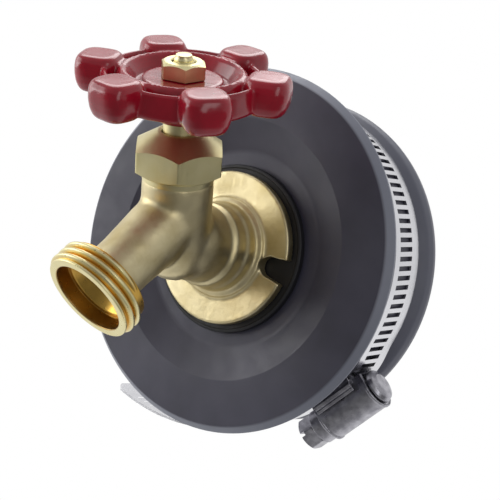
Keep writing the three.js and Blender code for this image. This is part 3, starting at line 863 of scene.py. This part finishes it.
def clamp_housing(steel):
    """The arched cover over the worm, on two feet whose outer edges are turned up."""
    skirt, hem = BAND_WIDTH / 2 + 0.3, BAND_INNER + BAND_THICK + 0.3
    base, foot_top = HOUSING_BASE, HOUSING_BASE + HOUSING_WALL
    arch = housing_sheet([(ARCH_R, base)], HOUSING_FROM, HOUSING_TO)
    feet = housing_sheet([
        (ARCH_R, foot_top), (skirt, foot_top), (skirt, 52.3), (skirt + 0.35, 52.3),
        (skirt + 0.7, 51.6), (skirt + 0.55, 51.3), (skirt + 0.9, 51.1), (skirt + 1.2, 50.3),
        (skirt + 0.5, foot_top - 0.4), (skirt + 0.5, hem), (skirt, hem), (skirt, base),
    ], -7.4, 5.8)
    housing = [cut(arch, feet, "UNION")]
    for end in (HOUSING_FROM + 0.45, HOUSING_TO - 0.45):
        bead = turned([
            (ARCH_R - 0.6, -0.45), (ARCH_R + 0.25, -0.45, 0.3), (ARCH_R + 0.25, 0.45, 0.4),
            (ARCH_R - 0.6, 0.45),
        ], 48, closed=True, sweep=pi)
        half_turn = Matrix.Rotation(pi, 4, Vector((1, 1, 0)))
        over_worm = Matrix.Translation((end, 0, WORM_AXIS)) @ half_turn
        housing.append(moved(bead, over_worm))
    finished(together(*housing), "worm_housing", CLAMP, steel, FIXED, "clamp_housing",
             edge=0.2)


def housing_sheet(side, start, stop):
    """The arch from end to end, with what stands on each side of it given by its corners."""
    inner, base = ARCH_R - HOUSING_WALL, HOUSING_BASE
    dome = [radians(180 - 9 * k) for k in range(21)]
    outline = [(ARCH_R * cos(a), WORM_AXIS + ARCH_R * sin(a)) for a in dome] + side
    outline.append((inner, base))
    outline += [(inner * cos(a), WORM_AXIS + inner * sin(a)) for a in reversed(dome)]
    outline.append((-inner, base))
    outline += [(-y, z) for y, z in reversed(side)]
    bm = bmesh.new()
    sheet = [bm.faces.new([bm.verts.new((start, y, z)) for y, z in outline])]
    raised = bmesh.ops.extrude_face_region(bm, geom=sheet)["geom"]
    far_end = [g for g in raised if isinstance(g, bmesh.types.BMVert)]
    bmesh.ops.translate(bm, verts=far_end, vec=(stop - start, 0, 0))
    bmesh.ops.recalc_face_normals(bm, faces=bm.faces)
    return bm


def clamp_saddle(steel):
    half = radians(11.2)
    width = BAND_WIDTH + 2
    plate = turned([
        (BAND_INNER, -width / 2), (BAND_INNER + BAND_THICK, -width / 2),
        (BAND_INNER + BAND_THICK, width / 2), (BAND_INNER, width / 2),
    ], 24, closed=True, sweep=2 * half)
    turn = Matrix.Rotation(-pi / 2 - half, 4, "Y")  # the plate's middle faces Z
    finished(moved(plate, turn), "band_saddle", CLAMP, steel, FIXED, "clamp_saddle",
             edge=0.15)


def clamp_screw(steel):
    low, high, tip, collar, head = HOUSING_FROM - 0.3, HOUSING_TO + 0.3, -12.9, 10.9, 15.6
    shaft = turned([
        (0, tip), (3, tip, 1.5), (4.5, tip + 0.7, 1), (5, tip + 1.7, 0.4), (5, low), (3.5, low),
        (3.5, high), (5.1, high, 0.3), (5.1, collar, 0.3), (4.2, collar + 0.35, 0.2),
        (4.2, collar + 1), (0, collar + 1),
    ], 96)
    worm = threaded(4.4, 3.5, SLOT_PITCH, -8.4, 5.4, flat=0.3)
    hexagon_head = hexagon(5, collar + 0.3, head, 0, 0.2)
    blank = turned([
        (0, collar), (5.1, collar), (5.1, head - 0.6), (4.3, head, 0.3), (0, head),
    ], 96)
    hexagon_head = cut(hexagon_head, blank, "INTERSECT")
    slot = block((-6, head - 1.6, -0.6), (6, head + 2, 0.6))
    hexagon_head = cut(hexagon_head, slot)
    finished(together(shaft, worm, hexagon_head), "worm_screw_body", WORM, steel, WORM_SCREW,
             "clamp_screw", crease=30)


# ---- assembly ----
right, up, back = camera()
studio(right, up, back)
floor()

STEM_TURN = (-(pi / 2 + STEM_LEAN), 0, 0)
cast_brass = tumbled_cast_brass()
stem_brass = turned_brass("stem_brass", STEM_TURN)
nut_brass = turned_brass("nut_brass", STEM_TURN)
tail_brass = turned_brass("tail_brass", (0, 0, 0))
thread_brass = chased_brass()
cap_rubber = moulded_rubber()
dark_rubber = seal_rubber()
stainless = rolled_stainless()
steel = pressed_steel()
plate = zinc_plate()

pipe_cap(cap_rubber)
flange_gasket(dark_rubber)
bib_casting(cast_brass)
hose_collar(thread_brass)
inlet_tail(tail_brass)
barrel_top(stem_brass)
lock_nut(tail_brass)
backing_washer(plate)
stem_spindle(stem_brass)
packing_nut(nut_brass)
wheel_nut(nut_brass)
handwheel(dipped_red_enamel())
clamp_band(stainless)
clamp_housing(steel)
clamp_saddle(steel)
clamp_screw(steel)

inner_finishes = {
    "seat_washer": dark_rubber, "washer_cup": stem_brass, "bibb_screw": stem_brass,
    "packing_washer": stem_brass, "packing_gland": stem_brass,
}
yarn = packing_yarn()
inner_finishes.update({"packing_ring_lower": yarn, "packing_ring_upper": yarn})
for node, material in inner_finishes.items():
    node_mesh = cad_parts[node].data
    node_mesh.materials.clear()
    node_mesh.materials.append(material)
